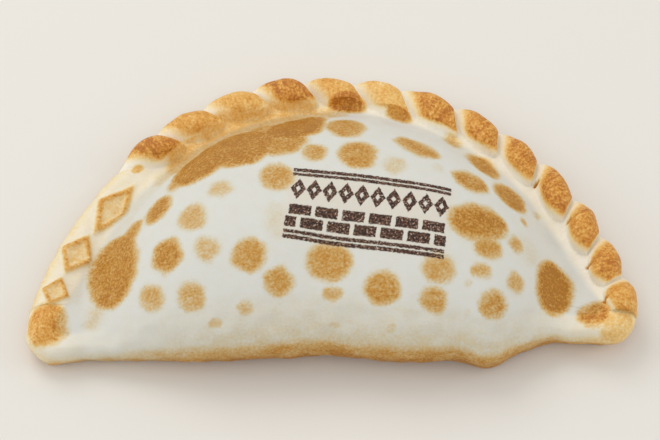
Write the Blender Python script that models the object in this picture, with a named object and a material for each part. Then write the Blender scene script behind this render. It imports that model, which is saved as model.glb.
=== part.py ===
"""A baked half-moon pasty: a round of dough folded over its filling and crimped into a rope.

The dough is one solid. Its outline in plan is a rim circle cut off by the straight fold. Rings of points run
round that outline: over the dome, down into the valley behind the rope, over the rope and under the edge to
the flat underside. The rope's folds are relief on those rings; the last of the seam is a plain flat tab.

Design frame: X along the fold, Y from the fold towards the rim, Z up, with the rim circle's centre at the
origin. At the end the mesh is moved so that its box stands centred on the origin.
"""

import math

import bmesh
import bpy
import numpy as np
from mathutils import Matrix

MM = 0.001

# Plan
RIM_RADIUS = 60.5 * MM
TAB_EXTRA = 0.7 * MM  # the flat tab stands out this much further than the rope's grooves
TIP_FLARE = 4.4 * MM  # the two tips stand out beyond the rim circle
TIP_FLARE_FROM, TIP_FLARE_TO = 60.0, 96.0  # degrees either side of the rim's middle
FOLD_DEPTH = 10.2 * MM  # how far the fold lies in front of the rim circle's centre
FOLD_BOW = 1.4 * MM  # how much less that is where the fold meets the tips
FOLD_HALF_LENGTH = 52.3 * MM
LEFT_CORNER, RIGHT_CORNER = 5.0 * MM, 9.5 * MM  # how softly the rim turns into the fold at each tip
# Each bulge of the fold: where along X, how wide, how far out.
FOLD_BULGES = (
    (-60.5 * MM, 4.0 * MM, 1.6 * MM),
    (-26.0 * MM, 12.0 * MM, 0.7 * MM),
    (-3.0 * MM, 7.0 * MM, -0.9 * MM),
    (17.0 * MM, 10.0 * MM, 0.9 * MM),
    (33.0 * MM, 5.0 * MM, 2.2 * MM),
    (49.5 * MM, 10.0 * MM, -4.2 * MM),
)

# Dome
DOME_RADIUS = 55.0 * MM  # the dome would reach the floor here, under the rope
DOME_HEIGHT = 22.5 * MM
DOME_FULLNESS = 4.0  # 2 is a paraboloid; more is flatter on top and steeper at the foot
FOLD_RUN = 30.0 * MM  # how far behind the fold the dome reaches its full height
FOLD_MIDDLE = 0.4  # the fold bulges furthest at this share of the height
# Low swellings where the filling pushes the dough up: X, Y, width, height.
SWELLINGS = (
    (-27.0 * MM, 18.0 * MM, 14.0 * MM, 0.7 * MM),
    (24.0 * MM, 24.0 * MM, 15.0 * MM, 0.8 * MM),
    (3.0 * MM, 8.0 * MM, 12.0 * MM, -0.6 * MM),
    (46.0 * MM, 12.0 * MM, 9.0 * MM, -0.8 * MM),
    (-25.0 * MM, 41.0 * MM, 12.0 * MM, 2.4 * MM),
)
CROWN_Y = 19.0 * MM  # the rings of points close in on this place
CROWN_HALF_LENGTH = 44.0 * MM
CROWN_HALF_DEPTH = 20.0 * MM

# Seam, from the dome's foot to the outline: distance in from the outline and height, in millimetres.
SEAM = (
    (12.0, 4.8), (10.4, 4.8), (9.0, 4.9), (7.6, 5.2), (5.4, 5.7), (2.8, 5.9), (0.9, 5.0), (0.0, 3.5),
)
FOOT, TOP, OUTER = 0, 5, 7  # places in that list
VALLEY_BLEND = 5.0 * MM
UNDER_STEPS = 4  # rows from the outline to the underside
BASE_INSET = 14.0 * MM  # the flat underside starts this far in
RIGHT_TIP_LIFT = 2.2 * MM  # the right-hand tip curls off the surface it lies on
# Puffed places at the two tips: X, Y, width, height.
PUFFS = (
    (-60.0 * MM, -2.0 * MM, 7.0 * MM, 1.8 * MM),
    (57.0 * MM, -0.5 * MM, 6.0 * MM, 2.0 * MM),
)

# Rope: the folds run clockwise from the left-hand shoulder to the right-hand tip.
ROPE_START = 142.0  # degrees round the rim circle
# Each fold's width in degrees, its share of the full relief, and how many millimetres in it reaches.
FOLDS = (
    (9.7, 1.05, 7.6), (11.5, 0.95, 7.2), (11.6, 0.95, 7.2), (11.0, 1.1, 7.4), (10.8, 0.9, 8.2),
    (11.0, 0.8, 8.6), (12.5, 0.85, 8.4), (11.3, 0.9, 7.4), (11.4, 0.9, 7.0), (11.9, 1.0, 6.8),
    (10.1, 1.0, 6.8), (10.2, 0.95, 7.2), (9.5, 0.75, 7.6),
)
ROPE_SKEW = 10.5 * MM  # how far a groove runs along the rope as it crosses it
ROPE_RELIEF = 3.7 * MM
CREST_AT = 0.58  # where each fold is highest, as a share of its width
FOLD_CLIMB = 3.2 * MM  # how far in from its inner end a fold takes to rise
GROOVE_GAP = 0.05  # the step down to the next fold, as a share of a fold's width

TAB_START = 178.0  # degrees: the flat tab runs from here to the rope

# Mesh
COLUMNS_PER_FOLD = 8
TAB_COLUMNS = 24
FOLD_COLUMNS = 32
DOME_RINGS = ((0.1, 4), (0.26, 4), (0.43, 2), (0.58, 2), (0.71, 2), (0.81, 1), (0.89, 1), (0.95, 1))

DOUGH_COLOUR = (0.78, 0.70, 0.55, 1.0)
NORMAL_SMOOTHING = 14.0 * MM
TIPS = (-8.0, 190.0)  # where round the outline the two tips are, in degrees
TIP_NARROWING = 0.36
TIP_SPREAD = 20.0 * MM
TABLE_STEPS = 4000


def smoothstep(low, high, x):
    t = np.clip((np.asarray(x, float) - low) / (high - low), 0.0, 1.0)
    return t * t * (3.0 - 2.0 * t)


def smooth_max(a, b, width):
    h = np.maximum(width - np.abs(a - b), 0.0) / width
    return np.maximum(a, b) + h * h * width / 4.0


def bump(x, centre, width):
    return np.exp(-(((x - centre) / width) ** 2))


def rim_radius(theta):
    """The rim's distance from the centre at an angle in degrees."""
    flare = TIP_FLARE * smoothstep(TIP_FLARE_FROM, TIP_FLARE_TO, np.abs(theta - 90.0))
    tab = TAB_EXTRA * smoothstep(ROPE_START - 3.0, ROPE_START + 3.0, theta)
    return RIM_RADIUS + flare + tab


def fold_line(x):
    """How far the fold stands in front of the rim circle's centre."""
    bulges = sum(out * bump(x, at, wide) for at, wide, out in FOLD_BULGES)
    return FOLD_DEPTH - FOLD_BOW * (x / FOLD_HALF_LENGTH) ** 2 + bulges


def outline_radius(theta):
    """Distance from the centre to the outline, found by halving: inside the rim and behind the fold."""
    angle = np.radians(theta)
    low, high = np.zeros_like(angle), np.full_like(angle, 1.3 * RIM_RADIUS)
    for _ in range(40):
        middle = (low + high) / 2.0
        x, y = middle * np.cos(angle), middle * np.sin(angle)
        corner = np.where(x < 0.0, LEFT_CORNER, RIGHT_CORNER)
        outside = smooth_max(middle - rim_radius(theta), -y - fold_line(x), corner) > 0.0
        low, high = np.where(outside, low, middle), np.where(outside, middle, high)
    return low


class Outline:
    """The plan outline, clockwise from the middle of the fold, as tables over its length."""

    def __init__(self):
        self.theta = np.linspace(270.0, -90.0, TABLE_STEPS + 1)
        angle, radius = np.radians(self.theta), outline_radius(self.theta)
        self.points = np.stack([radius * np.cos(angle), radius * np.sin(angle)], axis=1)
        steps = np.linalg.norm(np.diff(self.points, axis=0), axis=1)
        self.length_at = np.concatenate([[0.0], np.cumsum(steps)])
        self.length = self.length_at[-1]
        self.even = np.linspace(0.0, self.length, TABLE_STEPS, endpoint=False)
        self.outward = self._smooth_normals()

    def _smooth_normals(self):
        """Unit normals averaged along the outline, so that lines drawn inwards never cross."""
        here = self.at(self.even)
        tangent = np.roll(here, -1, axis=0) - np.roll(here, 1, axis=0)
        normal = np.stack([-tangent[:, 1], tangent[:, 0]], axis=1)
        normal /= np.linalg.norm(normal, axis=1)[:, None]
        apart = np.minimum(self.even, self.length - self.even)
        weight = np.exp(-((apart / NORMAL_SMOOTHING) ** 2) / 2.0)
        spectrum = np.fft.fft(weight)[:, None] * np.fft.fft(normal, axis=0)
        blurred = np.fft.ifft(spectrum, axis=0).real
        return blurred / np.linalg.norm(blurred, axis=1)[:, None]

    def at(self, s):
        s = np.mod(s, self.length)
        return np.stack([np.interp(s, self.length_at, self.points[:, i]) for i in (0, 1)], axis=-1)

    def inside(self, s, distance):
        """Points a distance in from the outline, less at the narrow tips."""
        outward = [np.interp(s, self.even, self.outward[:, i], period=self.length) for i in (0, 1)]
        outward = np.stack(outward, axis=-1)
        outward /= np.linalg.norm(outward, axis=-1, keepdims=True)
        return self.at(s) - outward * (np.reshape(distance, (-1, 1)) * self.room(s)[:, None])

    def room(self, s):
        """The share of the seam's width that fits at each station."""
        half = self.length / 2.0
        apart = [np.remainder(s - self.station(theta) + half, self.length) - half for theta in TIPS]
        return 1.0 - TIP_NARROWING * sum(bump(way, 0.0, TIP_SPREAD) for way in apart)

    def station(self, theta):
        """Length along the outline at an angle in degrees."""
        return float(np.interp(-theta, -self.theta, self.length_at))


def swelling(places, x, y):
    return sum(high * bump(np.hypot(x - at_x, y - at_y), 0.0, wide) for at_x, at_y, wide, high in places)


def dome_height(x, y):
    from_foot = np.maximum(1.0 - (np.hypot(x, y) / DOME_RADIUS) ** DOME_FULLNESS, 0.0)
    behind = np.clip((y + fold_line(x)) / FOLD_RUN, 0.0, 1.0)
    from_fold = FOLD_MIDDLE + (1.0 - FOLD_MIDDLE) * np.sqrt(1.0 - (1.0 - behind) ** 2)
    return from_foot * (DOME_HEIGHT * from_fold + swelling(SWELLINGS, x, y))


def seam_place(k, column):
    """Distance in from the outline, or height, at the fractional place k of the seam's list."""
    return np.interp(k, np.arange(len(SEAM)), [row[column] * MM for row in SEAM])


def tip_lift(x):
    return RIGHT_TIP_LIFT * smoothstep(42.0 * MM, 62.0 * MM, x)


def surface(plan, seam_height):
    """The top surface over points in plan: the dome, or the seam where that is higher."""
    x, y = plan[:, 0], plan[:, 1]
    seam = seam_height + swelling(PUFFS, x, y) + tip_lift(x)
    return np.column_stack([plan, smooth_max(dome_height(x, y), seam, VALLEY_BLEND)])


def seam_ring(outline, s, k):
    plan = outline.inside(s, seam_place(k, 0))
    return surface(plan, seam_place(k, 1))


def under_ring(outline, s, t):
    """Points under the edge, from the outline at t 0 to the underside at t 1, along quarter ellipses."""
    edge = seam_ring(outline, s, OUTER)
    lift = tip_lift(edge[:, 0])
    middle = edge[:, 2] - lift
    plan = outline.inside(s, (1.5 * MM + 0.6 * middle) * (1.0 - math.cos(math.pi / 2.0 * t)))
    height = middle * (1.0 - math.sin(math.pi / 2.0 * t)) + lift * (1.0 - smoothstep(0.7, 1.0, t))
    return np.column_stack([plan, height])


def dome_ring(outline, s, rho):
    """Points over the dome, from the crown at rho 0 to its foot at rho 1."""
    crown = np.array([0.0, CROWN_Y])
    spoke = seam_ring(outline, s, FOOT)[:, :2] - crown
    turn = math.pi * (1.5 - 2.0 * s / outline.length)
    ellipse = np.column_stack([CROWN_HALF_LENGTH * np.cos(turn), CROWN_HALF_DEPTH * np.sin(turn)])
    share = rho**2
    plan = crown + rho * (ellipse * (1.0 - share) + spoke * share)
    return surface(plan, seam_place(FOOT, 1))


class Columns:
    """Where the mesh's columns stand round the outline, and how each one crosses a fold of the rope."""

    def __init__(self, outline):
        edges = ROPE_START - np.concatenate([[0.0], np.cumsum([width for width, _, _ in FOLDS])])
        rope = np.array([outline.station(theta) for theta in edges])
        tab = outline.station(TAB_START)
        across_fold = np.linspace(0.0, 1.0 - GROOVE_GAP, COLUMNS_PER_FOLD)
        spans = [(tab, rope[0], np.arange(TAB_COLUMNS) / TAB_COLUMNS, 0.0, FOOT)]
        spans += [(a, b, across_fold, high, reach) for a, b, (_, high, reach) in zip(rope, rope[1:], FOLDS)]
        spans += [(rope[-1], tab + outline.length, np.arange(FOLD_COLUMNS) / FOLD_COLUMNS, 0.0, FOOT)]
        self.station = np.concatenate([a + (b - a) * shares for a, b, shares, _, _ in spans])
        self.phase = np.concatenate([shares for _, _, shares, _, _ in spans])
        self.rope = np.concatenate([np.full(len(shares), high) for _, _, shares, high, _ in spans])
        self.reach = np.concatenate([np.full(len(shares), float(reach)) for _, _, shares, _, reach in spans])
        before = smoothstep(tab, rope[0], self.station)
        after = 1.0 - smoothstep(rope[-3], rope[-1] + 25.0 * MM, self.station)
        self.skew = ROPE_SKEW * before * after

    def at(self, k):
        """Stations at place k: the columns lean so that they run along the rope's grooves."""
        return self.station + self.skew * seam_place(k, 0) / seam_place(FOOT, 0)


def fold_relief(phase, k, reach):
    """Height of one fold of the rope: it rises from the groove, swells, and drops at its far edge."""
    rise = np.sin(np.pi / 2.0 * np.clip(phase / CREST_AT, 0.0, 1.0)) ** 1.1
    fall = np.sqrt(1.0 - 0.84 * np.clip((phase - CREST_AT) / (1.0 - CREST_AT), 0.0, 1.0) ** 2)
    edge = np.sin(np.pi * phase) ** 0.8  # seen from outside, each fold is an even bulge
    edge_on = smoothstep(TOP, OUTER, k)
    inner_end = reach * MM - 1.8 * MM * (2.0 * phase - 1.1) ** 2  # rounded, like a knuckle
    climb = np.clip((inner_end - seam_place(k, 0)) / FOLD_CLIMB, 0.0, 1.0)
    inner = np.sqrt(1.0 - (1.0 - climb) ** 2)
    outer = 1.0 - 0.68 * edge_on - 0.32 * smoothstep(OUTER, OUTER + 3.0, k)
    return ROPE_RELIEF * (rise * fall * (1.0 - edge_on) + edge * edge_on) * inner * outer


def edge_rings(outline, columns):
    """Rings over the seam and under the edge, pushed out along their normals by the relief."""
    places = list(np.arange(FOOT, OUTER + 1, 1.0))
    base = [seam_ring(outline, columns.at(k), k) for k in places]
    for step in range(1, UNDER_STEPS + 1):
        places.append(OUTER + step)
        base.append(under_ring(outline, columns.station, step / UNDER_STEPS))
    base = np.array(base)
    along = np.roll(base, -1, axis=1) - np.roll(base, 1, axis=1)
    normal = np.cross(along, np.gradient(base, axis=0))
    normal /= np.linalg.norm(normal, axis=2)[:, :, None]
    for k, ring, out in zip(places, base, normal):
        points = ring + out * (columns.rope * fold_relief(columns.phase, k, columns.reach))[:, None]
        points[:, 2] = np.maximum(points[:, 2], 0.0)
        yield points


def all_rings(outline, columns):
    """Every ring of points from the crown to the underside, each with how many columns it steps by."""
    for rho, step in DOME_RINGS:
        yield dome_ring(outline, columns.at(FOOT), rho), step
    for points in edge_rings(outline, columns):
        yield points, 1
    floor = outline.inside(columns.station, BASE_INSET)
    yield np.column_stack([floor, np.zeros(len(floor))]), 1


def bridge(bm, inner, outer):
    """Faces between two rings, the outer with as many points as the inner or twice as many."""
    count = len(inner)
    for i in range(count):
        j = (i + 1) % count
        if len(outer) == count:
            bm.faces.new((inner[i], inner[j], outer[j], outer[i]))
        else:
            a, b, c = outer[2 * i], outer[2 * i + 1], outer[(2 * i + 2) % len(outer)]
            bm.faces.new((inner[i], b, a))
            bm.faces.new((inner[i], inner[j], b))
            bm.faces.new((inner[j], c, b))


def pasty_mesh():
    outline = Outline()
    columns = Columns(outline)
    bm = bmesh.new()
    crown = surface(np.array([[0.0, CROWN_Y]]), seam_place(FOOT, 1))[0]
    last = [bm.verts.new(crown)]
    for points, step in all_rings(outline, columns):
        ring = [bm.verts.new(p) for p in points[::step]]
        if len(last) == 1:
            for a, b in zip(ring, ring[1:] + ring[:1]):
                bm.faces.new((last[0], a, b))
        else:
            bridge(bm, last, ring)
        last = ring
    bm.faces.new(last)
    bmesh.ops.recalc_face_normals(bm, faces=bm.faces)
    return bm


def centred(bm):
    """Moves the mesh so that its box is centred in plan and stands on the floor."""
    points = np.array([v.co for v in bm.verts])
    low, high = points.min(axis=0), points.max(axis=0)
    middle = (low + high) / 2.0
    bmesh.ops.transform(bm, matrix=Matrix.Translation((-middle[0], -middle[1], -low[2])), verts=bm.verts)


def dough_material():
    material = bpy.data.materials.new("baked_dough")
    material.use_nodes = True
    shader = material.node_tree.nodes["Principled BSDF"]
    shader.inputs["Base Color"].default_value = DOUGH_COLOUR
    shader.inputs["Roughness"].default_value = 0.7
    shader.inputs["Metallic"].default_value = 0.0
    return material


def make_pasty():
    bm = pasty_mesh()
    centred(bm)
    mesh = bpy.data.meshes.new("empanada")
    bm.to_mesh(mesh)
    bm.free()
    mesh.shade_smooth()
    mesh.set_sharp_from_angle(angle=math.radians(50.0))
    mesh.materials.append(dough_material())
    pasty = bpy.data.objects.new("empanada", mesh)
    bpy.context.scene.collection.objects.link(pasty)
    return pasty


def main():
    for old in list(bpy.data.objects):
        bpy.data.objects.remove(old, do_unlink=True)
    make_pasty()


main()
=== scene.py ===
"""A baked beef empanada: pale dough with toasted blisters, a rope-crimped rim and a stamped tab.

Everything is worked out in millimetres in the maker's frame: X along the fold, Y from the fold towards the
rim, Z up, with the centre of the rim circle at the origin. The finished mesh is then set into the CAD box.

Rings of points run from the crown of the dome down to the seam, over the rope and under the edge. A ring's
place k in the seam is 0 at the dome's foot and 7 at the outline, and goes on to 11 under the edge. Toasting
is a share, from 0 for raw dough to 1 for the darkest crust.
"""

import math

import bpy
import numpy as np
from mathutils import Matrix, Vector, noise


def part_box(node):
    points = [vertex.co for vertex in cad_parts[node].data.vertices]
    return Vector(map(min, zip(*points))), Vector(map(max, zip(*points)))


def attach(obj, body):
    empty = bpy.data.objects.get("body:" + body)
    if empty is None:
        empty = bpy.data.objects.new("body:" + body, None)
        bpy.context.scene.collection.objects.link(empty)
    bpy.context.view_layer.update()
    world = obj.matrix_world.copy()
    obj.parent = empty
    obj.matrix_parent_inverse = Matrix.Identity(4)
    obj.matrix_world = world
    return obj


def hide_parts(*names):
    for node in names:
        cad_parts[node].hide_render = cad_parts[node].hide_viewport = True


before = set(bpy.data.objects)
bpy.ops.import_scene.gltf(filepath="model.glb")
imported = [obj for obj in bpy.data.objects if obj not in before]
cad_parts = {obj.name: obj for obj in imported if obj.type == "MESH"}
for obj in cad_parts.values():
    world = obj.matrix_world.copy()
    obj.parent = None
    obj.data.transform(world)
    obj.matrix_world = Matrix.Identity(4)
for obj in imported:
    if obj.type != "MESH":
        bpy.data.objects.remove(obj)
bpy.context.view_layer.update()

MM = 0.001

# ---------------------------------------------------------------- plan
RIM_RADIUS = 60.5
TAB_EXTRA = 0.7
TIP_FLARE = 4.4
TIP_FLARE_FROM, TIP_FLARE_TO = 60.0, 96.0  # degrees either side of the rim's middle
FOLD_DEPTH = 10.2
FOLD_BOW = 1.4
FOLD_HALF_LENGTH = 52.3
LEFT_CORNER, RIGHT_CORNER = 5.0, 9.5
# Each bulge of the fold: where along X, how wide, how far out.
FOLD_BULGES = (
    (-60.5, 4.0, 1.6),
    (-26.0, 12.0, 0.7),
    (-3.0, 7.0, -0.9),
    (17.0, 10.0, 0.9),
    (33.0, 5.0, 2.2),
    (49.5, 10.0, -4.2),
)

# ---------------------------------------------------------------- dome
DOME_RADIUS = 55.0
DOME_HEIGHT = 22.5
DOME_FULLNESS = 4.0
FOLD_RUN = 30.0
FOLD_MIDDLE = 0.4
# Low swellings where the filling pushes the dough up: X, Y, width, height.
SWELLINGS = (
    (-27.0, 18.0, 14.0, 0.7), (24.0, 24.0, 15.0, 0.8), (3.0, 8.0, 12.0, -0.6), (46.0, 12.0, 9.0, -0.8),
    (-25.0, 41.0, 12.0, 2.4),
)
# The rings close in on the crown, and near it they are ellipses.
CROWN_Y = 19.0
CROWN_HALF_LENGTH = 44.0
CROWN_HALF_DEPTH = 20.0
DOME_UNEVEN, DOME_UNEVEN_SIZE = 0.35, 11.0

# ---------------------------------------------------------------- seam
# From the dome's foot to the outline: distance in from the outline, then height.
SEAM = (
    (12.0, 4.8), (10.4, 4.8), (9.0, 4.9), (7.6, 5.2), (5.4, 5.7), (2.8, 5.9), (0.9, 5.0), (0.0, 3.5),
)
FOOT, TOP, OUTER = 0, 5, 7
UNDER = 4.0  # places from the outline to the underside
UNDER_INSET, UNDER_INSET_SHARE = 1.5, 0.6  # how far in the edge tucks: a length, and a share of its height
VALLEY_BLEND = 5.0
RIGHT_TIP_LIFT = 2.2
# Puffed places at the two tips: X, Y, width, height.
PUFFS = ((-60.0, -2.0, 7.0, 1.8), (57.0, -0.5, 6.0, 2.0))
NORMAL_SMOOTHING = 14.0
# The seam narrows round the two tips, which are at these angles.
TIPS = (-8.0, 190.0)
TIP_NARROWING = 0.36
TIP_SPREAD = 20.0

# ---------------------------------------------------------------- rope
ROPE_START = 142.0
# Each fold's width in degrees, its share of the full relief, how far in from the rim it reaches, and how
# toasted it is.
FOLDS = (
    (9.7, 1.05, 7.6, 0.84), (11.5, 0.95, 7.2, 0.64), (11.6, 0.95, 7.2, 0.55), (11.0, 1.1, 7.4, 0.86),
    (10.8, 0.9, 8.2, 0.59), (11.0, 0.8, 8.6, 0.47), (12.5, 0.85, 8.4, 0.8), (11.3, 0.9, 7.4, 0.78),
    (11.4, 0.9, 7.0, 0.79), (11.9, 1.0, 6.8, 0.83), (10.1, 1.0, 6.8, 0.74), (10.2, 0.95, 7.2, 0.77),
    (9.5, 0.75, 7.6, 0.66),
)
ROPE_SKEW = 10.5  # how far a groove runs along the rope as it crosses it
ROPE_SKEW_FADE = 25.0
ROPE_RELIEF = 3.7
CREST_AT = 0.58
RISE_SHAPE, EDGE_SHAPE = 1.1, 0.8  # powers: under 1 is fuller, over 1 is slimmer
FAR_EDGE_DROP = 0.84
RELIEF_LOST_AT_EDGE = 0.68
KNUCKLE_DEPTH = 1.8
FOLD_CLIMB = 3.2
GROOVE_GAP = 0.03
GROOVE_CROWDING = 0.7  # how strongly the columns crowd towards the grooves
OVERHANG = 0.45
ROPE_UNEVEN, ROPE_UNEVEN_SIZE = 0.35, 3.2

# ---------------------------------------------------------------- tab
TAB_START = 178.0
# Plain lozenges stamped in the tab: X, Y, half length, half width, direction in degrees.
LOZENGES = ((-48.2, 26.6, 6.0, 3.2, 57), (-55.6, 15.2, 4.3, 3.0, 64), (-59.6, 5.6, 3.2, 2.4, 74))
LOZENGE_RELIEF = 0.8
LOZENGE_LINE = 0.28
LOZENGE_ROUNDING = 0.003
LOZENGE_TOAST, LOZENGE_FLOOR_TOAST = 0.64, 0.3
TAB_TOAST, TAB_EDGE_TOAST = 0.07, 0.2

# ---------------------------------------------------------------- mesh
COLUMNS_PER_FOLD = 48
TAB_COLUMNS = 128
FOLD_COLUMNS = 208
ROWS_PER_PLACE = 7
UNDER_ROWS = 16
# Rings over the dome: how many columns they step by, the shares of the way to the foot, and how many rings.
DOME_RINGS = ((8, 0.03, 0.42, 14), (4, 0.45, 0.84, 20), (2, 0.86, 0.985, 10))
# Rings under the pasty: how many columns they step by, and how far in from the outline they are.
BASE_RINGS = ((1, 14.0), (2, 18.0), (4, 23.0), (8, 29.0))
TABLE_STEPS = 4000
HALVINGS = 40

# ---------------------------------------------------------------- toasting
# Each blister on the dome: X, Y, half length, half width, direction in degrees, how toasted.
BLISTERS = (
    (-3.9, 32.9, 2.8, 2.5, 93, 0.62),
    (-11.9, 25.7, 3.7, 3.5, 100, 0.62),
    (-24.1, 23.3, 2.7, 2.5, 160, 0.35),
    (-37.7, 22.0, 3.9, 2.9, 64, 0.8),
    (-29.8, 16.8, 3.5, 3.0, 105, 0.5),
    (-12.0, 14.8, 4.2, 2.0, 90, 0.18),
    (-35.0, 8.4, 3.8, 3.4, 114, 0.75),
    (-26.5, 8.4, 2.8, 2.6, 106, 0.42),
    (-17.6, 6.7, 3.6, 3.5, 94, 0.66),
    (-11.4, 1.2, 3.0, 3.0, 76, 0.6),
    (-38.1, 0.2, 3.0, 2.6, 126, 0.55),
    (-29.6, -1.2, 3.0, 2.8, 134, 0.55),
    (-18.3, -3.9, 1.8, 1.7, 168, 0.35),
    (-24.4, -6.3, 1.4, 1.2, 165, 0.35),
    (-0.8, 5.6, 4.7, 4.0, 1, 0.65),
    (-0.1, -1.0, 2.1, 1.5, 0, 0.5),
    (0.4, -6.4, 1.6, 1.2, 177, 0.25),
    (10.3, -0.1, 3.6, 3.6, 112, 0.68),
    (21.9, 4.0, 3.5, 3.1, 2, 0.52),
    (21.0, -2.4, 2.8, 2.6, 35, 0.58),
    (31.2, 4.0, 2.2, 1.5, 4, 0.6),
    (38.5, 3.3, 2.2, 2.0, 31, 0.58),
    (33.6, -2.4, 3.0, 2.7, 47, 0.69),
    (28.2, 1.1, 1.0, 1.0, 55, 0.2),
    (27.7, -4.8, 1.1, 1.1, 12, 0.15),
    (12.3, -7.4, 1.4, 1.2, 179, 0.25),
    (47.0, 5.6, 6.3, 4.8, 86, 1.0),
    (30.8, 15.7, 7.0, 4.4, 7, 0.84),
    (32.7, 9.9, 3.2, 2.6, 11, 0.62),
    (39.0, 12.8, 2.0, 1.9, 41, 0.5),
    (5.5, 32.3, 4.7, 4.1, 84, 0.68),
    (2.8, 42.7, 5.2, 4.2, 85, 0.68),
    (13.4, 29.3, 2.8, 2.5, 79, 0.25),
    (22.8, 29.9, 1.8, 1.4, 75, 0.13),
    (18.6, 36.4, 5.2, 3.0, 146, 0.74),
    (26.8, 43.2, 2.4, 1.9, 107, 0.5),
    (33.2, 36.0, 4.6, 3.7, 117, 0.76),
    (29.9, 27.3, 4.3, 3.4, 165, 0.76),
    (38.9, 27.0, 4.3, 4.3, 120, 0.8),
    (41.4, 20.5, 1.2, 1.1, 39, 0.5),
    (41.8, 12.4, 4.0, 3.0, 120, 0.12),
    (44.8, 24.4, 1.2, 0.8, 110, 0.25),
    # The leaf-shaped scorch on the left flank, its tip and its faint tail.
    (-46.8, 9.5, 9.3, 6.9, 88, 0.8),
    (-43.6, 17.2, 3.8, 2.4, 62, 0.76),
    (-50.6, -0.2, 3.4, 2.2, 70, 0.24),
    # The big scorch at the rear, from its left-hand tip to its right, then the paler band behind it.
    (-32.8, 30.0, 4.2, 2.4, 50, 0.66),
    (-27.6, 34.4, 9.2, 6.6, 45, 0.9),
    (-20.5, 37.2, 8.8, 7.8, 140, 0.88),
    (-14.4, 39.8, 8.4, 5.6, 100, 0.66),
    (-10.0, 36.4, 5.6, 3.8, 38, 0.72),
    (-8.4, 43.2, 7.4, 6.0, 40, 1.0),
    (-5.2, 46.5, 4.6, 3.6, 60, 0.94),
    (-37.0, 34.0, 3.6, 2.8, 50, 0.24),
    (-30.8, 39.0, 7.4, 6.0, 40, 0.42),
    (-22.0, 45.2, 8.5, 7.0, 27, 0.42),
    (-10.0, 49.0, 9.0, 6.4, 8, 0.42),
    (-1.5, 50.6, 5.0, 3.4, 0, 0.36),
    (55.6, -0.7, 3.4, 3.0, 0, 0.8),
    (-61.0, -2.4, 5.4, 4.4, 80, 0.66),
)
BASE_TOAST = 0.6
# How much the crust's streaks are drawn out: inwards over the rope, and lengthways over the belly.
ROPE_STREAKS, BELLY_STREAKS = 0.22, 0.15
BLISTER_EDGE = 1.25
ROUND_BLISTER = 0.2  # a blister whose foci are closer to its middle than this is drawn round one of them

# Puffed spots on the rope and the tab, and painted shade at the pits between the folds: X, Y, half length,
# half width, direction, how toasted, height.
PUFFED_SPOTS_AND_PIT_SHADE = (
    (3.2, 53.6, 4.4, 3.0, -4, 0.9, 1.1),
    (14.8, 50.9, 3.4, 2.1, -30, 0.74, 0.7),
    (0.6, 58.6, 2.6, 1.6, 0, 0.62, 0.0),
    (-43.5, 36.9, 1.5, 0.9, 10, 0.52, 0.1),
    (60.5, -4.4, 5.6, 4.0, 60, 0.38, 0.0),
    # Painted shade: the pits where the folds' far corners tuck in are sunk a little and toasted dark to
    # stand for the shade in them.
    (45.2, 32.9, 1.0, 0.45, 40, 0.8, -1.1),
    (51.9, 22.4, 1.0, 0.45, 25, 0.8, -1.1),
    (55.6, 11.4, 1.0, 0.45, 10, 0.8, -1.1),
    (58.2, 2.2, 0.9, 0.45, 0, 0.8, -0.9),
)


def smoothstep(low, high, x):
    t = np.clip((np.asarray(x, float) - low) / (high - low), 0.0, 1.0)
    return t * t * (3.0 - 2.0 * t)


def smooth_max(a, b, width):
    h = np.maximum(width - np.abs(a - b), 0.0) / width
    return np.maximum(a, b) + h * h * width / 4.0


def hump(x, centre, width):
    return np.exp(-(((x - centre) / width) ** 2))


def swelling(places, x, y):
    return sum(high * hump(np.hypot(x - at_x, y - at_y), 0.0, wide) for at_x, at_y, wide, high in places)


def ellipse_axes(x, y, at_x, at_y, direction):
    """Distances from a place along a direction in degrees and across it."""
    turn = math.radians(direction)
    along = (x - at_x) * math.cos(turn) + (y - at_y) * math.sin(turn)
    across = (y - at_y) * math.cos(turn) - (x - at_x) * math.sin(turn)
    return along, across


def rim_radius(theta):
    """The rim's distance from the centre at an angle in degrees."""
    flare = TIP_FLARE * smoothstep(TIP_FLARE_FROM, TIP_FLARE_TO, np.abs(theta - 90.0))
    tab = TAB_EXTRA * smoothstep(ROPE_START - 3.0, ROPE_START + 3.0, theta)
    return RIM_RADIUS + flare + tab


def fold_line(x):
    """How far the fold stands in front of the rim circle's centre."""
    bulges = sum(out * hump(x, at, wide) for at, wide, out in FOLD_BULGES)
    return FOLD_DEPTH - FOLD_BOW * (x / FOLD_HALF_LENGTH) ** 2 + bulges


def outline_radius(theta):
    """Distance from the centre to the outline, found by halving: inside the rim and behind the fold."""
    angle = np.radians(theta)
    low, high = np.zeros_like(angle), np.full_like(angle, 1.3 * RIM_RADIUS)
    for _ in range(HALVINGS):
        middle = (low + high) / 2.0
        x, y = middle * np.cos(angle), middle * np.sin(angle)
        corner = np.where(x < 0.0, LEFT_CORNER, RIGHT_CORNER)
        outside = smooth_max(middle - rim_radius(theta), -y - fold_line(x), corner) > 0.0
        low, high = np.where(outside, low, middle), np.where(outside, middle, high)
    return low


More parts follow.
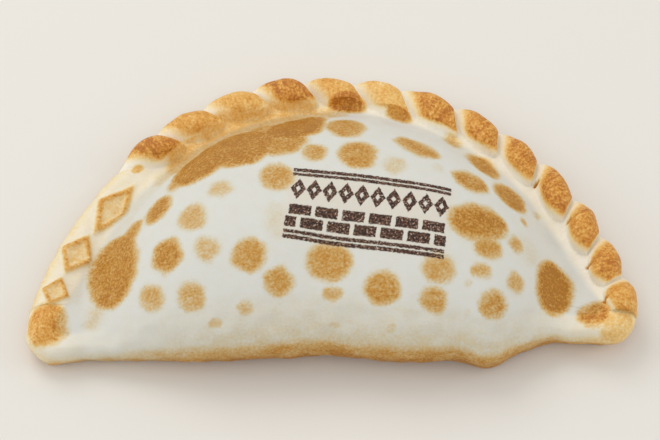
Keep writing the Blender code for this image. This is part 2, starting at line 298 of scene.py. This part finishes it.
class Outline:
    """The plan outline, clockwise from the middle of the fold, as tables over its length."""

    def __init__(self):
        self.theta = np.linspace(270.0, -90.0, TABLE_STEPS + 1)
        angle, radius = np.radians(self.theta), outline_radius(self.theta)
        self.points = np.stack([radius * np.cos(angle), radius * np.sin(angle)], axis=1)
        steps = np.linalg.norm(np.diff(self.points, axis=0), axis=1)
        self.length_at = np.concatenate([[0.0], np.cumsum(steps)])
        self.length = self.length_at[-1]
        self.even = np.linspace(0.0, self.length, TABLE_STEPS, endpoint=False)
        self.outward = self._smooth_normals()

    def _smooth_normals(self):
        """Unit normals averaged along the outline, so that lines drawn inwards never cross."""
        here = self.at(self.even)
        tangent = np.roll(here, -1, axis=0) - np.roll(here, 1, axis=0)
        normal = np.stack([-tangent[:, 1], tangent[:, 0]], axis=1)
        normal /= np.linalg.norm(normal, axis=1)[:, None]
        apart = np.minimum(self.even, self.length - self.even)
        weight = np.exp(-((apart / NORMAL_SMOOTHING) ** 2) / 2.0)
        spectrum = np.fft.fft(weight)[:, None] * np.fft.fft(normal, axis=0)
        blurred = np.fft.ifft(spectrum, axis=0).real
        return blurred / np.linalg.norm(blurred, axis=1)[:, None]

    def at(self, s):
        s = np.mod(s, self.length)
        return np.stack([np.interp(s, self.length_at, self.points[:, i]) for i in (0, 1)], axis=-1)

    def inside(self, s, distance):
        """Points a distance in from the outline, less at the narrow tips."""
        outward = [np.interp(s, self.even, self.outward[:, i], period=self.length) for i in (0, 1)]
        outward = np.stack(outward, axis=-1)
        outward /= np.linalg.norm(outward, axis=-1, keepdims=True)
        return self.at(s) - outward * (np.reshape(distance, (-1, 1)) * self.room(s)[:, None])

    def room(self, s):
        """The share of the seam's width that fits at each station."""
        half = self.length / 2.0
        apart = [np.remainder(s - self.station(theta) + half, self.length) - half for theta in TIPS]
        return 1.0 - TIP_NARROWING * sum(hump(way, 0.0, TIP_SPREAD) for way in apart)

    def station(self, theta):
        """Length along the outline at an angle in degrees."""
        return float(np.interp(-theta, -self.theta, self.length_at))


def dome_height(x, y):
    from_foot = np.maximum(1.0 - (np.hypot(x, y) / DOME_RADIUS) ** DOME_FULLNESS, 0.0)
    behind = np.clip((y + fold_line(x)) / FOLD_RUN, 0.0, 1.0)
    from_fold = FOLD_MIDDLE + (1.0 - FOLD_MIDDLE) * np.sqrt(1.0 - (1.0 - behind) ** 2)
    return from_foot * (DOME_HEIGHT * from_fold + swelling(SWELLINGS, x, y))


def seam_place(k, column):
    """Distance in from the outline, or height, on a smooth curve through the seam's list at place k."""
    values = [row[column] for row in SEAM]
    values = [2 * values[0] - values[1], *values, 2 * values[-1] - values[-2]]
    i = min(int(k), len(SEAM) - 2)
    a, b, c, d = values[i : i + 4]
    t = k - i
    return 0.5 * (2 * b + (c - a) * t + (2 * a - 5 * b + 4 * c - d) * t**2 + (3 * b - a - 3 * c + d) * t**3)


def tip_lift(x):
    return RIGHT_TIP_LIFT * smoothstep(42.0, 62.0, x)


def surface(plan, seam_height):
    """The top surface over points in plan: the dome, or the seam where that is higher."""
    x, y = plan[:, 0], plan[:, 1]
    seam = seam_height + swelling(PUFFS, x, y) + tip_lift(x)
    return np.column_stack([plan, smooth_max(dome_height(x, y), seam, VALLEY_BLEND)])


def seam_ring(outline, s, k):
    return surface(outline.inside(s, seam_place(k, 0)), seam_place(k, 1))


def under_ring(outline, s, t):
    """Points under the edge, from the outline at t 0 to the underside at t 1, along quarter ellipses."""
    edge = seam_ring(outline, s, OUTER)
    lift = tip_lift(edge[:, 0])
    middle = edge[:, 2] - lift
    tuck = UNDER_INSET + UNDER_INSET_SHARE * middle
    plan = outline.inside(s, tuck * (1.0 - math.cos(math.pi / 2.0 * t)))
    height = middle * (1.0 - math.sin(math.pi / 2.0 * t)) + lift * (1.0 - smoothstep(0.7, 1.0, t))
    return np.column_stack([plan, height])


def dome_ring(outline, s, rho):
    """Points over the dome, from the crown at rho 0 to its foot at rho 1."""
    crown = np.array([0.0, CROWN_Y])
    spoke = seam_ring(outline, s, FOOT)[:, :2] - crown
    turn = math.pi * (1.5 - 2.0 * s / outline.length)
    ellipse = np.column_stack([CROWN_HALF_LENGTH * np.cos(turn), CROWN_HALF_DEPTH * np.sin(turn)])
    plan = crown + rho * (ellipse * (1.0 - rho**2) + spoke * rho**2)
    return surface(plan, seam_place(FOOT, 1))


class Columns:
    """Where the mesh's columns stand round the outline, and how each one crosses a fold of the rope."""

    def __init__(self, outline):
        edges = ROPE_START - np.concatenate([[0.0], np.cumsum([fold[0] for fold in FOLDS])])
        rope = np.array([outline.station(theta) for theta in edges])
        tab = outline.station(TAB_START)
        even = np.linspace(0.0, 1.0, COLUMNS_PER_FOLD)
        crowding = GROOVE_CROWDING * np.sin(2.0 * math.pi * even) / (2.0 * math.pi)
        across_fold = (1.0 - GROOVE_GAP) * (even - crowding)
        # Each span: its first and last station, its columns' phases, then the five values named below.
        along_tab = np.arange(TAB_COLUMNS) / TAB_COLUMNS
        along_fold = np.arange(FOLD_COLUMNS) / FOLD_COLUMNS
        spans = [(tab, rope[0], along_tab, 0.0, 0.0, 0.0, 1.0, 0.0)]
        spans += [(a, b, across_fold, *fold[1:], 0.0, 0.0) for a, b, fold in zip(rope, rope[1:], FOLDS)]
        spans += [(rope[-1], tab + outline.length, along_fold, 0.0, 0.0, 0.0, 0.0, 1.0)]
        self.station = np.concatenate([a + (b - a) * phase for a, b, phase, *_ in spans])
        self.phase = np.concatenate([phase for _, _, phase, *_ in spans])
        self.rope, self.reach, self.toast, self.tab, self.fold = (
            np.concatenate([np.full(len(span[2]), span[place]) for span in spans]) for place in range(3, 8)
        )
        before = smoothstep(tab, rope[0], self.station)
        after = 1.0 - smoothstep(rope[-3], rope[-1] + ROPE_SKEW_FADE, self.station)
        self.skew = ROPE_SKEW * before * after

    def at(self, k):
        """Stations at place k: the columns lean so that they run along the rope's grooves."""
        return self.station + self.skew * seam_place(k, 0) / seam_place(FOOT, 0)


def fold_relief(phase, k, reach):
    """Height of one fold of the rope: it rises from the groove, swells, and drops at its far edge."""
    rise = np.sin(np.pi / 2.0 * np.clip(phase / CREST_AT, 0.0, 1.0)) ** RISE_SHAPE
    past_crest = np.clip((phase - CREST_AT) / (1.0 - CREST_AT), 0.0, 1.0)
    fall = np.sqrt(1.0 - FAR_EDGE_DROP * past_crest**2)
    edge = np.sin(np.pi * phase) ** EDGE_SHAPE
    edge_on = smoothstep(TOP, OUTER, k)
    climb = np.clip((inner_end(phase, reach) - seam_place(k, 0)) / FOLD_CLIMB, 0.0, 1.0)
    inner = np.sqrt(1.0 - (1.0 - climb) ** 2)
    under = (1.0 - RELIEF_LOST_AT_EDGE) * smoothstep(OUTER, OUTER + 3.0, k)
    outer = 1.0 - RELIEF_LOST_AT_EDGE * edge_on - under
    return ROPE_RELIEF * (rise * fall * (1.0 - edge_on) + edge * edge_on) * inner * outer


def inner_end(phase, reach):
    """How far in from the rim a fold starts: furthest near its middle, like a knuckle."""
    return reach - KNUCKLE_DEPTH * (2.0 * phase - 1.1) ** 2


def fold_toast(phase, k, reach):
    """How browned a fold is: pale where it tucks under its neighbour and along its inner lip."""
    start = smoothstep(0.07, 0.38, phase)
    lip = smoothstep(0.1, 1.8, inner_end(phase, reach) - seam_place(k, 0))
    shoulder = 1.0 - 0.35 * smoothstep(TOP + 0.3, OUTER + 0.5, k)
    return start * lip * shoulder


def belly_toast(k, x):
    """How browned the front of the fold is, down towards the tray: most in the middle and to its right."""
    share = (0.3 + 0.7 * smoothstep(-52.0, -14.0, x)) * (1.0 - 0.55 * smoothstep(34.0, 52.0, x))
    high = 0.1 * smoothstep(1.0, 4.0, k) + 0.08 * smoothstep(4.0, 5.8, k)
    high += 0.46 * smoothstep(5.6, 7.1, k)
    return share * high + 0.38 * smoothstep(6.8, 8.6, k)


def stamped_lozenges(x, y):
    """The raised outlines of the lozenges stamped in the tab, and the floors inside them, from 0 to 1."""
    line, floor = np.zeros_like(x), np.zeros_like(x)
    for at_x, at_y, long, short, direction in LOZENGES:
        along, across = ellipse_axes(x, y, at_x, at_y, direction)
        out = sum(np.sqrt(share**2 + LOZENGE_ROUNDING) for share in (along / long, across / short))
        line = np.maximum(line, hump(out, 1.0, LOZENGE_LINE))
        floor = np.maximum(floor, 1.0 - smoothstep(0.7, 1.3, out))
    return line, floor


def puffed_spots_and_pit_shade(x, y):
    """How toasted the puffed spots on the rope and the tab are, with painted shade at the pits, and how high
    they stand.
    """
    toast, height = np.zeros_like(x), np.zeros_like(x)
    for at_x, at_y, long, short, direction, browned, high in PUFFED_SPOTS_AND_PIT_SHADE:
        along, across = ellipse_axes(x, y, at_x, at_y, direction)
        out = np.hypot(along / long, across / short)
        toast = np.maximum(toast, browned * (1.0 - smoothstep(0.65, 1.2, out)))
        height += high * (1.0 - smoothstep(0.2, 1.4, out))
    return toast, height


def uneven(points, size, offset):
    """Smooth unevenness from -1 to 1 at each point."""
    return np.array([noise.noise(Vector(p) / size + offset) for p in points])


# The two kinds of unevenness are taken from different places of the same noise.
def rope_uneven(points):
    return ROPE_UNEVEN * uneven(points, ROPE_UNEVEN_SIZE, Vector((17.3, 5.1, 9.7)))


def dome_uneven(points):
    return DOME_UNEVEN * uneven(points, DOME_UNEVEN_SIZE, Vector((34.6, 10.2, 19.4)))


def edge_base(outline, columns):
    """The places of the rings over the seam and under the edge, and their points without any relief."""
    steps = np.arange((OUTER - FOOT) * ROWS_PER_PLACE + 1)
    places = list(FOOT + steps / ROWS_PER_PLACE)
    base = [seam_ring(outline, columns.at(k), k) for k in places]
    for step in range(1, UNDER_ROWS + 1):
        t = step / UNDER_ROWS
        places.append(OUTER + UNDER * t)
        base.append(under_ring(outline, columns.station, t))
    return places, np.array(base)


def edge_toast(columns, k, ring, line, floor, spots):
    """How toasted a ring of the seam is, from whichever of its folds, marks and spots is most toasted; the
    spots carry the painted shade at the pits.
    """
    low = np.maximum(columns.fold, smoothstep(7.0, 9.0, k))
    tab = TAB_TOAST + TAB_EDGE_TOAST * smoothstep(TOP - 0.5, OUTER, k)
    return np.max([
        columns.toast * fold_toast(columns.phase, k, columns.reach),
        LOZENGE_TOAST * line,
        LOZENGE_FLOOR_TOAST * floor,
        spots,
        columns.tab * tab,
        low * belly_toast(k, ring[:, 0]),
    ], axis=0)


def streak_way(columns, k):
    """Where the crust's streaks lie: stretched inwards over the rope, and lengthways over the belly."""
    station, inset = (columns.at(k), seam_place(k, 0)) if k <= OUTER else (columns.station, OUTER - k)
    lengthways = 1.0 + (BELLY_STREAKS - 1.0) * columns.fold
    inwards = ROPE_STREAKS + (1.0 - ROPE_STREAKS) * columns.fold
    return np.column_stack([station * lengthways, inset * inwards, np.zeros(len(columns.fold))])


def edge_rings(outline, columns):
    """Rings over the seam and under the edge: points, toasting, crust and the streaks' way."""
    places, base = edge_base(outline, columns)
    along = np.roll(base, -1, axis=1) - np.roll(base, 1, axis=1)
    along /= np.linalg.norm(along, axis=2)[:, :, None]
    normal = np.cross(along, np.gradient(base, axis=0))
    normal /= np.linalg.norm(normal, axis=2)[:, :, None]
    to_end = np.minimum(columns.phase, 1.0 - columns.phase)
    belly = columns.fold * smoothstep(0.0, 0.2, to_end)
    for k, ring, tangent, out in zip(places, base, along, normal):
        x, y = ring[:, 0], ring[:, 1]
        fold = columns.rope * fold_relief(columns.phase, k, columns.reach)
        on_top = 1.0 - smoothstep(OUTER - 0.5, OUTER + 1.0, k)
        line, floor = (on_top * mark for mark in stamped_lozenges(x, y))
        # The spots' toasting includes painted shade at the pits between the folds.
        spots, puff = (on_top * mark for mark in puffed_spots_and_pit_shade(x, y))
        off_floor = 1.0 - smoothstep(8.0, 10.0, k)
        rough = off_floor * (rope_uneven(ring) * smoothstep(1.0, 4.0, k) + dome_uneven(ring))
        rise = fold + LOZENGE_RELIEF * line + puff + rough
        lean = OVERHANG * smoothstep(0.7, 1.0, columns.phase) * fold / ROPE_RELIEF
        points = ring + out * rise[:, None] + tangent * lean[:, None]
        points[:, 2] = np.maximum(points[:, 2], 0.0)
        toast = edge_toast(columns, k, ring, line, floor, spots)
        crust = smoothstep(1.4, 3.2, k) * (1.0 - belly) * (1.0 - 0.25 * columns.tab)
        yield points, toast, crust, streak_way(columns, k)


def all_rings(outline, columns):
    """Every ring from the crown to the underside, and how many columns it steps by."""
    none = np.zeros(len(columns.station))
    nowhere = np.zeros((len(none), 3))
    for step, first, last, count in DOME_RINGS:
        for rho in np.linspace(first, last, count):
            points = dome_ring(outline, columns.at(FOOT), rho)
            points[:, 2] += dome_uneven(points)
            yield points, none, none, nowhere, step
    for ring in edge_rings(outline, columns):
        yield *ring, 1
    for step, inset in BASE_RINGS:
        points = np.column_stack([outline.inside(columns.station, inset), none])
        yield points, none + BASE_TOAST, none, nowhere, step


def bridge(inner, outer):
    """Faces between two rings of point numbers, with as many points each or twice as many in one."""
    if len(inner) > len(outer):
        return [face[::-1] for face in bridge(outer, inner)]
    faces = []
    for i in range(len(inner)):
        j = (i + 1) % len(inner)
        if len(outer) == len(inner):
            faces.append((inner[i], inner[j], outer[j], outer[i]))
        else:
            a, b, c = outer[2 * i], outer[2 * i + 1], outer[(2 * i + 2) % len(outer)]
            faces += [(inner[i], b, a), (inner[i], inner[j], b), (inner[j], c, b)]
    return faces


def build_pasty():
    outline = Outline()
    columns = Columns(outline)
    crown = surface(np.array([[0.0, CROWN_Y]]), seam_place(FOOT, 1))
    rings, faces = [(crown, np.zeros(1), np.zeros(1), np.zeros((1, 3)))], []
    last, count = None, 1
    for *ring, step in all_rings(outline, columns):
        ring = [values[::step] for values in ring]
        numbers = list(range(count, count + len(ring[0])))
        if last is None:
            faces += [(0, b, a) for a, b in zip(numbers, numbers[1:] + numbers[:1])]
        else:
            faces += bridge(last, numbers)
        rings.append(ring)
        last, count = numbers, count + len(numbers)
    faces.append(tuple(last))
    points, toast, crust, way = (np.concatenate(values) for values in zip(*rings))
    low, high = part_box("empanada")
    box_middle = np.array([(low.x + high.x) / 2.0, (low.y + high.y) / 2.0, low.z]) / MM
    middle = (points.min(axis=0) + points.max(axis=0)) / 2.0
    middle[2] = 0.0
    shift = box_middle - middle
    mesh = bpy.data.meshes.new("baked_pasty")
    mesh.from_pydata((points + shift) * MM, [], faces)
    for name, values in (("place", points), ("way", way)):
        layer = mesh.attributes.new(name, "FLOAT_VECTOR", "POINT")
        layer.data.foreach_set("vector", values.astype(np.float32).ravel())
    for name, values in (("toast", toast), ("crust", crust)):
        layer = mesh.attributes.new(name, "FLOAT", "POINT")
        layer.data.foreach_set("value", values.astype(np.float32))
    mesh.shade_smooth()
    mesh.validate()
    pasty = bpy.data.objects.new("baked_pasty", mesh)
    bpy.context.scene.collection.objects.link(pasty)
    return pasty


# ---------------------------------------------------------------- finishes
class Value:
    """A socket in a finish. Arithmetic on it adds Math nodes."""

    def __init__(self, finish, socket):
        self.finish, self.socket = finish, socket

    def _math(self, operation, *terms):
        return self.finish.node("ShaderNodeMath", {"operation": operation}, dict(enumerate(terms)))

    def __add__(self, other):
        return self._math("ADD", self, other)

    def __sub__(self, other):
        return self._math("SUBTRACT", self, other)

    def __rsub__(self, other):
        return self._math("SUBTRACT", other, self)

    def __mul__(self, other):
        return self._math("MULTIPLY", self, other)

    __radd__ = __add__
    __rmul__ = __mul__

    def most(self, other):
        return self._math("MAXIMUM", self, other)

    def least(self, other):
        return self._math("MINIMUM", self, other)

    def size(self):
        return self._math("ABSOLUTE", self)

    def part(self):
        """What is left of it after whole numbers are taken off."""
        return self._math("FRACT", self)

    def from_to(self, low, high, start=0.0, end=1.0):
        """A soft step from start, where the value is low, to end, where it is high."""
        return self.finish.node(
            "ShaderNodeMapRange",
            {"interpolation_type": "SMOOTHSTEP"},
            {"Value": self, "From Min": low, "From Max": high, "To Min": start, "To Max": end},
        )


class Finish:
    """One material, built up in code."""

    def __init__(self, name):
        self.material = bpy.data.materials.new(name)
        self.material.use_nodes = True
        self.tree = self.material.node_tree
        self.shader = self.tree.nodes["Principled BSDF"]

    def node(self, kind, settings, inputs, output=0):
        made = self.tree.nodes.new(kind)
        for name, setting in settings.items():
            if name == "stops":
                self._set_stops(made.color_ramp, setting)
            else:
                setattr(made, name, setting)
        for name, value in inputs.items():
            self.feed(made.inputs[name], value)
        return Value(self, made.outputs[output])

    @staticmethod
    def _set_stops(ramp, stops):
        while len(ramp.elements) < len(stops):
            ramp.elements.new(1.0)
        for element, (position, colour) in zip(ramp.elements, stops):
            element.position, element.color = position, (*colour, 1.0)

    def feed(self, socket, value):
        if isinstance(value, Value):
            self.tree.links.new(value.socket, socket)
        else:
            socket.default_value = value

    def mix(self, share, first, second):
        """A colour between two colours."""
        return self.node("ShaderNodeMix", {"data_type": "RGBA"}, {0: share, 6: first, 7: second}, output=2)

    def speckle(self, at, scale, detail=2.0, roughness=0.5):
        """Random shading from 0 to 1; a larger scale is finer."""
        inputs = {"Vector": at, "Scale": scale, "Detail": detail, "Roughness": roughness}
        return self.node("ShaderNodeTexNoise", {}, inputs)

    def attribute(self, name, output):
        return self.node("ShaderNodeAttribute", {"attribute_name": name}, {}, output)

    def astray(self, at, scale, far):
        """Places moved a little way at random."""
        inputs = {"Vector": at, "Scale": scale, "Detail": 1.5}
        way = self.node("ShaderNodeTexNoise", {}, inputs, output="Color")
        way = self.vector("SUBTRACT", way, (0.5, 0.5, 0.5))
        way = self.node("ShaderNodeVectorMath", {"operation": "SCALE"}, {0: way, "Scale": far})
        return self.vector("ADD", at, way)

    def vector(self, operation, first, second, output=0):
        return self.node("ShaderNodeVectorMath", {"operation": operation}, {0: first, 1: second}, output)


def linear(red, green, blue):
    """A colour given as 0 to 255 on a screen, in linear light."""
    shares = [c / 255.0 for c in (red, green, blue)]
    return tuple(c / 12.92 if c < 0.04045 else ((c + 0.055) / 1.055) ** 2.4 for c in shares)


# Share of toasting, then colour: on the thin dome, and on the thick crust of the rope and the tab.
DOME_COLOURS = (
    (0.0, linear(212, 211, 203)),
    (0.12, linear(209, 204, 188)),
    (0.24, linear(206, 192, 160)),
    (0.42, linear(203, 172, 119)),
    (0.62, linear(194, 150, 78)),
    (0.8, linear(187, 131, 43)),
    (1.0, linear(166, 108, 22)),
)
CRUST_COLOURS = (
    (0.0, linear(239, 231, 214)),
    (0.2, linear(238, 217, 168)),
    (0.42, linear(231, 188, 112)),
    (0.62, linear(219, 162, 76)),
    (0.8, linear(203, 136, 48)),
    (1.0, linear(176, 106, 32)),
)
CHAR = linear(40, 26, 20)
SCORCH = linear(104, 66, 42)
SINGED = linear(214, 190, 150)
SINGE = 0.2
# How fine each kind of speckle is, in cells per millimetre.
GRAIN_SCALE, PORE_SCALE, PATCH_SCALE, STREAK_SCALE, CHAR_SCALE = 1.8, 0.9, 0.35, 1.1, 2.4
# How strongly the toasting varies with the grain, less so on the crust, and with the patches and streaks.
GRAIN_MOTTLE, CRUST_STEADIER, PATCH_MOTTLE, STREAK_MOTTLE = 1.9, 0.2, 0.5, 0.9
PATCH_TOAST = 0.12
# How high the grain, pores and streaks stand in the bump, and how far the stamp sinks.
GRAIN_BUMP, PORE_BUMP, STREAK_BUMP, STAMP_BUMP = 0.4, 0.25, 0.8, 0.5
# Wandering edges: how fine, then how far in millimetres.
BLISTER_SWAY, BLISTER_FRAY, STAMP_FRAY = (0.28, 1.8), (2.0, 0.8), (1.5, 0.55)


def blister_mask(finish, place):
    """The strongest of the dome's blisters at each point, from 0 to 1."""
    strongest = None
    for x, y, long, short, direction, toast in BLISTERS:
        # Each is an ellipse on the dome itself, drawn round its two foci.
        reach = math.sqrt(max(long**2 - short**2, 0.0))
        turn = math.radians(direction)
        way = np.array([math.cos(turn), math.sin(turn)])
        near = surface(np.array([(x, y) - 0.5 * way, (x, y) + 0.5 * way]), seam_place(FOOT, 1))
        reach /= np.linalg.norm(near[1] - near[0])
        foci = surface(np.array([(x, y) - reach * way, (x, y) + reach * way]), seam_place(FOOT, 1))
        foci = foci.tolist()
        away = finish.vector("DISTANCE", place, foci[0], output=1)
        if reach > ROUND_BLISTER:
            away = (away + finish.vector("DISTANCE", place, foci[1], output=1)) * 0.5
        edge = min(BLISTER_EDGE, 0.6 * short)
        spot = away.from_to(long - edge, long + edge, toast, 0.0)
        strongest = spot if strongest is None else strongest.most(spot)
    return strongest


# ---------------------------------------------------------------- stamp
STAMP_CENTRE = (7.4, 17.0, 0.0)
STAMP_TURN = -7.6
STAMP_HALF_LENGTH = 17.0
STAMP_SOFTNESS = 0.14
# Each rule: how far up from the stamp's middle, and its half width.
RULES = ((8.4, 0.45), (7.2, 0.4), (-8.4, 0.45), (-7.2, 0.4))
LOZENGE_CELL = 3.4
LOZENGE_ROW, LOZENGE_HALF_HEIGHT = 3.4, 2.8
BRICK_LENGTH = STAMP_HALF_LENGTH / 3.0
BRICK_HALF_HEIGHT = 1.2
# Each row of bricks: how far up, and how far along its joints are shifted, as a share of a brick.
BRICK_ROWS = ((-1.9, 0.0), (-4.9, 0.5))


def stamp_mask(finish, place):
    """A burned border of rules, lozenges and bricks, and the lightly singed dough round it."""
    turn = math.radians(STAMP_TURN)
    from_centre = finish.vector("SUBTRACT", place, STAMP_CENTRE)
    along_way = (math.cos(turn), math.sin(turn), 0.0)
    up_way = (-math.sin(turn), math.cos(turn), 0.0)
    along = finish.vector("DOT_PRODUCT", from_centre, along_way, output=1)
    up = finish.vector("DOT_PRODUCT", from_centre, up_way, output=1)

    def bar(value, middle, half):
        return (value - middle).size().from_to(half - STAMP_SOFTNESS, half + STAMP_SOFTNESS, 1.0, 0.0)

    def from_middle(cell, offset=0.0):
        """How far along from the middle of the nearest cell, from 0 to a half at its ends."""
        return ((along * (1.0 / cell) + offset).part() - 0.5).size()

    lozenge = from_middle(LOZENGE_CELL) * 2.0 + (up - LOZENGE_ROW).size() * (1.0 / LOZENGE_HALF_HEIGHT)
    mask = lozenge.from_to(0.9, 1.02, 1.0, 0.0) * lozenge.from_to(0.24, 0.36)
    for height, half in RULES:
        mask = mask.most(bar(up, height, half))
    for height, offset in BRICK_ROWS:
        brick = from_middle(BRICK_LENGTH, offset).from_to(0.4, 0.43, 1.0, 0.0)
        mask = mask.most(brick * bar(up, height, BRICK_HALF_HEIGHT))
    singe = along.size().from_to(16.0, 19.0, 1.0, 0.0) * up.size().from_to(7.5, 10.0, 1.0, 0.0)
    return mask * bar(along, 0.0, STAMP_HALF_LENGTH), singe


def toasting(finish, place, crust, grain, streaks):
    """How toasted the dough is at each point, with its grain, patches and streaks."""
    patches = finish.speckle(place, PATCH_SCALE)
    ragged = finish.astray(finish.astray(place, *BLISTER_SWAY), *BLISTER_FRAY)
    toast = blister_mask(finish, ragged).most(finish.attribute("toast", "Fac"))
    mottle = (grain - 0.5) * (GRAIN_MOTTLE - crust * CRUST_STEADIER)
    mottle = mottle + (patches - 0.5) * PATCH_MOTTLE + (streaks - 0.5) * STREAK_MOTTLE
    return toast * (1.0 + mottle) + (patches - 0.4).most(0.0) * PATCH_TOAST


def stamped(finish, place, colour):
    """The colour with the stamp burned into it, and the stamp's mask."""
    burn, singe = stamp_mask(finish, finish.astray(place, *STAMP_FRAY))
    colour = finish.mix(singe * SINGE, colour, (*SINGED, 1.0))
    bits = finish.speckle(place, CHAR_SCALE, roughness=0.6)
    char = finish.mix(bits.from_to(0.44, 0.56), (*CHAR, 1.0), (*SCORCH, 1.0))
    return finish.mix(burn * bits.from_to(0.7, 0.58, 0.35, 1.0), colour, char), burn


def baked_dough():
    finish = Finish("baked_dough")
    place = finish.attribute("place", "Vector")
    crust = finish.attribute("crust", "Fac")
    grain = finish.speckle(place, GRAIN_SCALE, detail=3.0, roughness=0.6)
    pores = finish.speckle(place, PORE_SCALE, detail=3.0)
    streaks = finish.speckle(finish.attribute("way", "Vector"), STREAK_SCALE, roughness=0.6)
    toast = toasting(finish, place, crust, grain, streaks)
    on_dome, on_crust = (
        finish.node("ShaderNodeValToRGB", {"stops": stops}, {0: toast})
        for stops in (DOME_COLOURS, CRUST_COLOURS)
    )
    colour, burn = stamped(finish, place, finish.mix(crust, on_dome, on_crust))
    relief = grain * toast.least(1.0) * GRAIN_BUMP + pores * PORE_BUMP
    relief = relief + streaks * crust * STREAK_BUMP - burn * STAMP_BUMP
    bump = finish.node("ShaderNodeBump", {}, {"Strength": 0.7, "Distance": 0.4 * MM, "Height": relief})
    inputs = finish.shader.inputs
    finish.feed(inputs["Base Color"], colour)
    finish.feed(inputs["Roughness"], toast.from_to(0.1, 0.7, 0.62, 0.5))
    finish.feed(inputs["Normal"], bump)
    inputs["Specular IOR Level"].default_value = 0.35
    inputs["Subsurface Weight"].default_value = 0.12
    inputs["Subsurface Radius"].default_value = (1.0, 0.7, 0.4)
    inputs["Subsurface Scale"].default_value = 1.5 * MM
    return finish.material


# ---------------------------------------------------------------- room
FLOOR_HALF = 3.0
FLOOR_DROP = 0.2 * MM


def pale_floor():
    finish = Finish("pale_board")
    finish.shader.inputs["Base Color"].default_value = (*linear(226, 222, 214), 1.0)
    finish.shader.inputs["Roughness"].default_value = 0.8
    mesh = bpy.data.meshes.new("floor")
    corners = ((-1, -1), (1, -1), (1, 1), (-1, 1))
    mesh.from_pydata([(x * FLOOR_HALF, y * FLOOR_HALF, -FLOOR_DROP) for x, y in corners], [], [(0, 1, 2, 3)])
    mesh.materials.append(finish.material)
    floor = bpy.data.objects.new("floor", mesh)
    bpy.context.scene.collection.objects.link(floor)


LAMPS_AIM = (0.0, 0.0, 0.01)
# Each lamp: its place in metres, its size and its power.
LAMPS = {
    "window": ((-0.35, 0.55, 0.75), 0.6, 2.5),
    "left_fill": ((-0.85, 0.0, 0.45), 0.6, 1.5),
    "right_fill": ((0.85, 0.0, 0.45), 0.6, 1.4),
    "front_fill": ((0.0, -0.4, 0.9), 0.7, 0.7),
}
ROOM_BRIGHTNESS = 0.69


def lamp(name, position, size, power):
    light = bpy.data.lights.new(name, "AREA")
    light.shape, light.size, light.energy = "DISK", size, power
    holder = bpy.data.objects.new(name, light)
    holder.location = position
    holder.rotation_euler = (Vector(LAMPS_AIM) - Vector(position)).to_track_quat("-Z", "Y").to_euler()
    bpy.context.scene.collection.objects.link(holder)


def light_room():
    world = bpy.data.worlds.new("soft_room")
    world.use_nodes = True
    background = world.node_tree.nodes["Background"].inputs
    background["Color"].default_value = (1.0, 1.0, 1.0, 1.0)
    background["Strength"].default_value = ROOM_BRIGHTNESS
    bpy.context.scene.world = world
    for name, settings in LAMPS.items():
        lamp(name, *settings)


CAMERA_HEIGHT = 60.0  # degrees above the floor
CAMERA_AWAY = 0.45  # metres
CAMERA_AIM = (-0.00046, -0.00314, 0.010)
LENS, SENSOR = 113.06, 36.0


def set_camera():
    camera = bpy.data.objects.new("camera", bpy.data.cameras.new("camera"))
    camera.data.lens, camera.data.sensor_width = LENS, SENSOR
    camera.data.clip_start, camera.data.clip_end = 0.01, 20.0
    slope = math.radians(CAMERA_HEIGHT)
    back = Vector((0.0, -math.cos(slope), math.sin(slope)))
    camera.location = Vector(CAMERA_AIM) + back * CAMERA_AWAY
    camera.rotation_euler = (-back).to_track_quat("-Z", "Y").to_euler()
    bpy.context.scene.collection.objects.link(camera)
    bpy.context.scene.camera = camera


set_camera()
light_room()
pale_floor()
bpy.context.scene.view_settings.view_transform = "Standard"
pasty = build_pasty()
pasty.data.materials.append(baked_dough())
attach(pasty, "root")
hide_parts("empanada")
